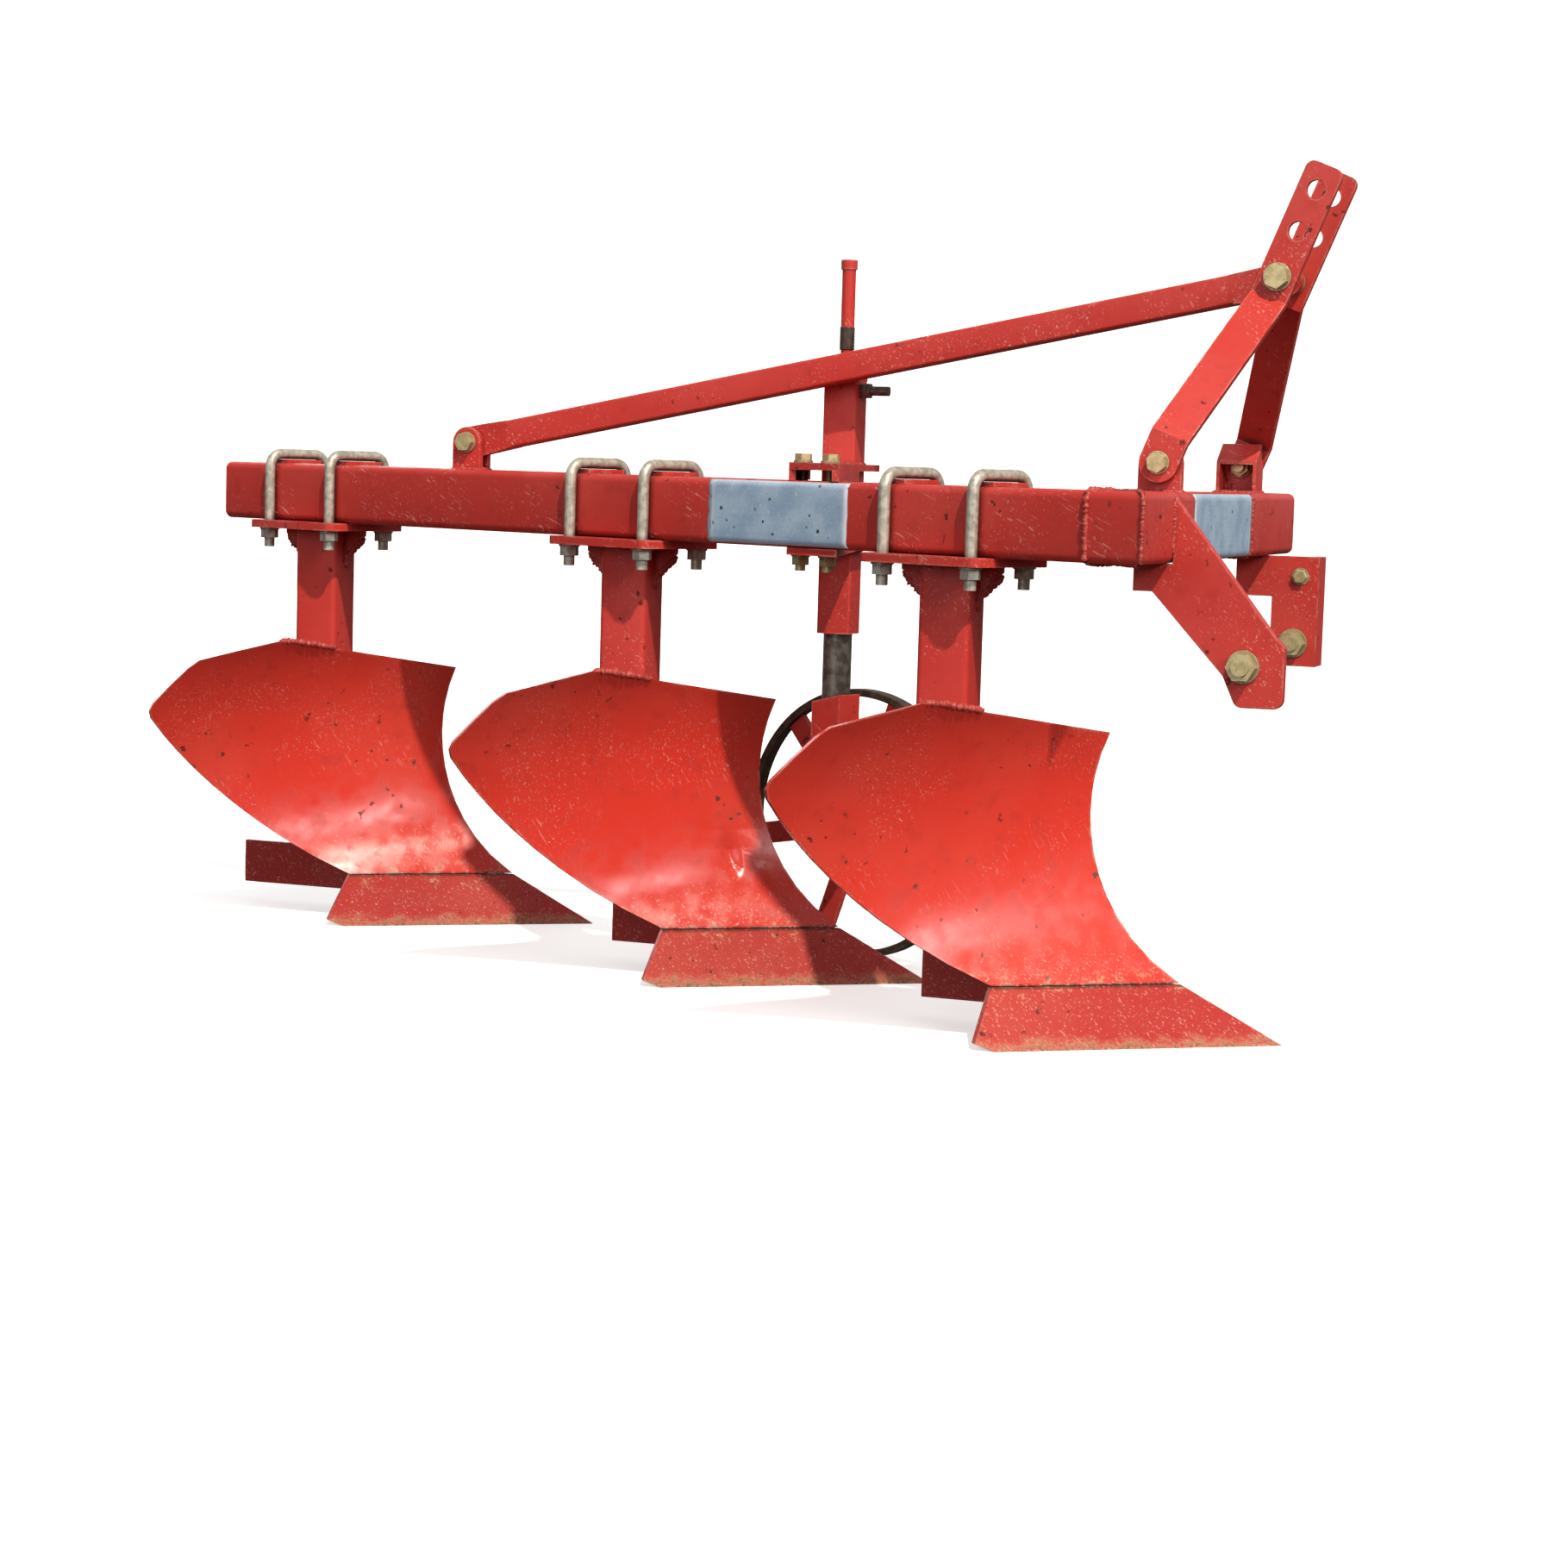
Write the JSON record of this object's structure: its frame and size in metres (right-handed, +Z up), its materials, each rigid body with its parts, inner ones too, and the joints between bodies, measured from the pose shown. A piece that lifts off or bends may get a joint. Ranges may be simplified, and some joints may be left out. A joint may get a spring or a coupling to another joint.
{
  "type": "mounted plough",
  "caption": "Mounted mouldboard plough: a diagonal square beam carries curved bodies on clamped legs, with a hitch mast, a back stay and a spoked depth wheel.",
  "frame": {"origin": "on the ground under the middle of the whole plough's box", "axes": "+X is the direction of travel, +Y the plough's left, +Z up"},
  "size_m": [1.8466, 1.0803, 1.1487],
  "materials": {
    "red_paint": "glossy red paint, scratched and chipped, with rust along the edges",
    "worn_red_paint": "red paint worn through to rusty steel along the cutting edges",
    "zinc": "dull zinc plating with rust specks",
    "yellow_zinc": "yellow passivated zinc plating",
    "bare_steel": "oily dark bare steel",
    "rusty_rim": "dark rusty steel"
  },
  "bodies": {
    "frame": {"main_beam": "red_paint", "beam_cap": "red_paint", "cross_tube": "red_paint", "cross_tube_cap": "red_paint", "clamp_plates_front": "red_paint", "clamp_plates_middle": "red_paint", "clamp_plates_rear": "red_paint", "u_bolts_front": "zinc", "u_bolts_middle": "zinc", "u_bolts_rear": "zinc", "leg_front": "red_paint", "leg_middle": "red_paint", "leg_rear": "red_paint", "frog_front": "red_paint", "frog_middle": "red_paint", "frog_rear": "red_paint", "share_front": "worn_red_paint", "share_middle": "worn_red_paint", "share_rear": "worn_red_paint", "mouldboard_front": "red_paint", "mouldboard_middle": "red_paint", "mouldboard_rear": "red_paint", "landside_front": "worn_red_paint", "landside_middle": "worn_red_paint", "landside_rear": "worn_red_paint", "mouldboard_stay_front": "red_paint", "mouldboard_stay_middle": "red_paint", "mouldboard_stay_rear": "red_paint", "mast_leg_right": "red_paint", "mast_leg_left": "red_paint", "mast_lug_right": "red_paint", "mast_lug_left": "red_paint", "mast_foot_bolts": "yellow_zinc", "mast_top_bolt": "yellow_zinc", "back_stay": "red_paint", "stay_lug": "red_paint", "stay_bolt": "yellow_zinc", "lower_link_plate_right": "red_paint", "lower_link_bracket_left": "red_paint", "lower_link_pin_right": "yellow_zinc", "lower_link_pin_left": "yellow_zinc", "wheel_arm_top": "red_paint", "wheel_arm_bottom": "red_paint", "wheel_arm_bolts": "yellow_zinc", "wheel_sleeve": "red_paint", "depth_spindle": "red_paint", "lock_screw": "bare_steel"},
    "wheel_post": {"wheel_shaft": "bare_steel", "wheel_leg": "red_paint", "wheel_axle": "yellow_zinc"},
    "wheel": {"wheel_spider": "red_paint", "wheel_rim": "rusty_rim"}
  },
  "joints": [
    {"name": "wheel_height", "type": "slide", "parent": "frame", "child": "wheel_post", "axis": [0, 0, 1], "range_m": [0, 0.08]},
    {"name": "wheel_spin", "type": "hinge", "parent": "wheel_post", "child": "wheel", "pos_m": [0.19652, 0.23692, 0.2], "axis": [0.309, 0.9511, 0], "continuous": true}
  ]
}
